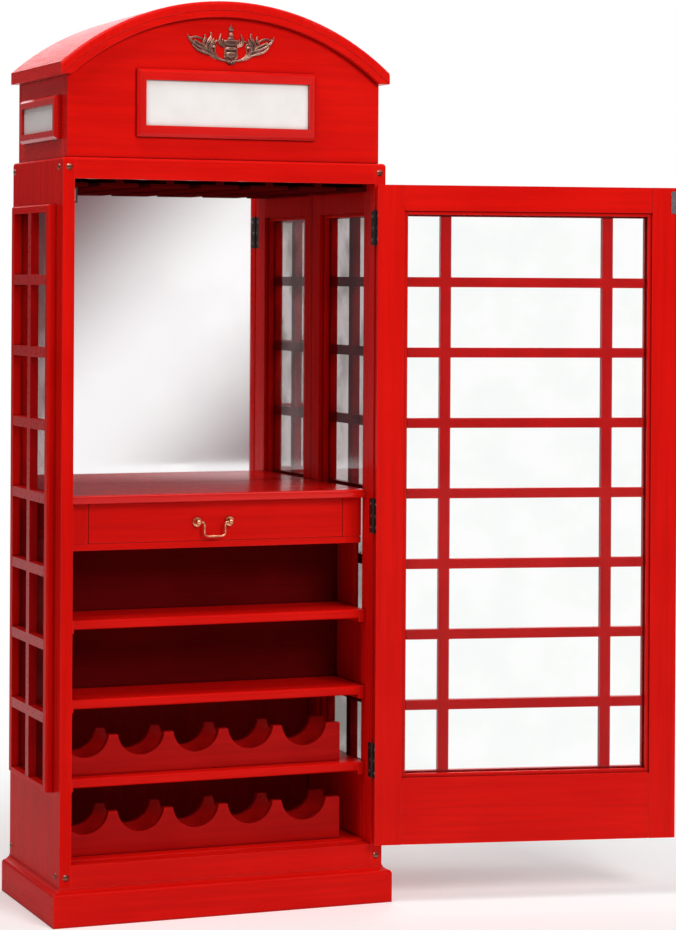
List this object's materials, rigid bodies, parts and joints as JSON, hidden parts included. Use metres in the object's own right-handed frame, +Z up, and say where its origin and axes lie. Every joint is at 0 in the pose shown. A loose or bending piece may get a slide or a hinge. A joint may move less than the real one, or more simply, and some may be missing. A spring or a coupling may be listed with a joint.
{
  "type": "phone booth bar cabinet",
  "caption": "Free-standing glazed bar cabinet shaped like a phone booth, with a lattice door, mirror, drawer, shelves, bottle racks, stemware rails and a vaulted roof.",
  "frame": {"origin": "on the floor, on the underside of the plinth front board, in the middle of the width and straight below the front face of the body", "axes": "+X to the right as one faces the cabinet, +Y to the back, +Z up"},
  "size_m": [1.4033, 0.5779, 1.982],
  "materials": {
    "red_lacquer": "glossy red lacquer over wood, with faint streaks",
    "deep_red_lacquer": "thinner red lacquer inside the cabinet",
    "dark_back": "dark red lacquered panel",
    "window_glass": "clear sheet glass",
    "silvered_mirror": "silvered glass",
    "opal_plaque": "plain opal sheet",
    "aged_bronze": "aged bronze with rubbed edges",
    "dark_studs": "dark domed studs",
    "polished_brass": "polished brass",
    "black_hinge_steel": "black painted steel",
    "bright_steel": "plain steel",
    "catch_plastic": "dark moulded plastic"
  },
  "bodies": {
    "cabinet": {"plinth_front": "red_lacquer", "plinth_returns": "red_lacquer", "front_rails": "red_lacquer", "left_front_post": "red_lacquer", "right_front_post": "red_lacquer", "side_frames": "red_lacquer", "bottom_board": "red_lacquer", "top_board": "red_lacquer", "window_frames": "red_lacquer", "window_bars": "red_lacquer", "window_beads": "red_lacquer", "header_front": "red_lacquer", "header_box": "red_lacquer", "roof_panel": "red_lacquer", "arch_trim": "red_lacquer", "eave_trims": "red_lacquer", "sign_frames": "red_lacquer", "counter_board": "red_lacquer", "upper_shelf": "red_lacquer", "middle_shelf": "red_lacquer", "rack_shelf": "red_lacquer", "shelf_cleats": "red_lacquer", "back_panel": "deep_red_lacquer", "ceiling_board": "deep_red_lacquer", "stemware_webs": "deep_red_lacquer", "stemware_flanges": "deep_red_lacquer", "window_liners": "deep_red_lacquer", "upper_rack": "deep_red_lacquer", "lower_rack": "deep_red_lacquer", "inner_back_panel": "dark_back", "window_glass": "window_glass", "mirror": "silvered_mirror", "sign_plaques": "opal_plaque", "crest": "aged_bronze", "corner_studs": "dark_studs", "post_hinge_leaves": "black_hinge_steel", "body_screws": "bright_steel", "catch_magnet": "bright_steel", "catch_body": "catch_plastic", "drawer_divider": "red_lacquer", "drawer_fillers": "red_lacquer", "drawer_guides": "deep_red_lacquer"},
    "door": {"door_stiles": "red_lacquer", "door_rails": "red_lacquer", "door_outer_frame": "red_lacquer", "door_bars": "red_lacquer", "door_glass": "window_glass", "door_beads": "red_lacquer", "door_hinge_leaves": "black_hinge_steel", "door_screws": "bright_steel", "strike_plate": "bright_steel", "door_pull_post": "polished_brass"},
    "door_ring": {"door_ring": "polished_brass"},
    "hinge_pins": {"hinge_pins": "black_hinge_steel"},
    "drawer": {"drawer_front": "red_lacquer", "drawer_sides": "deep_red_lacquer", "drawer_back": "deep_red_lacquer", "drawer_bottom": "deep_red_lacquer", "drawer_handle_posts": "polished_brass"},
    "drawer_bail": {"drawer_bail": "polished_brass"}
  },
  "joints": [
    {"name": "door_hinge", "type": "hinge", "parent": "cabinet", "child": "door", "pos_m": [0.3445, -0.0044, 0.856], "axis": [0, 0, 1], "range_deg": [-167.7, 8]},
    {"name": "hinge_pin_turn", "type": "hinge", "parent": "cabinet", "child": "hinge_pins", "pos_m": [0.3445, -0.0044, 0.856], "axis": [0, 0, 1], "continuous": true},
    {"name": "door_ring_swing", "type": "hinge", "parent": "door", "child": "door_ring", "pos_m": [0.99879, -0.13928, 0.86], "axis": [0.977, -0.213, 0], "range_deg": [0, 85]},
    {"name": "drawer_slide", "type": "slide", "parent": "cabinet", "child": "drawer", "axis": [0, -1, 0], "range_m": [0, 0.22]},
    {"name": "drawer_bail_swing", "type": "hinge", "parent": "drawer", "child": "drawer_bail", "pos_m": [-0.006, 0.054, 0.847], "axis": [-1, 0, 0], "range_deg": [0, 85]}
  ]
}
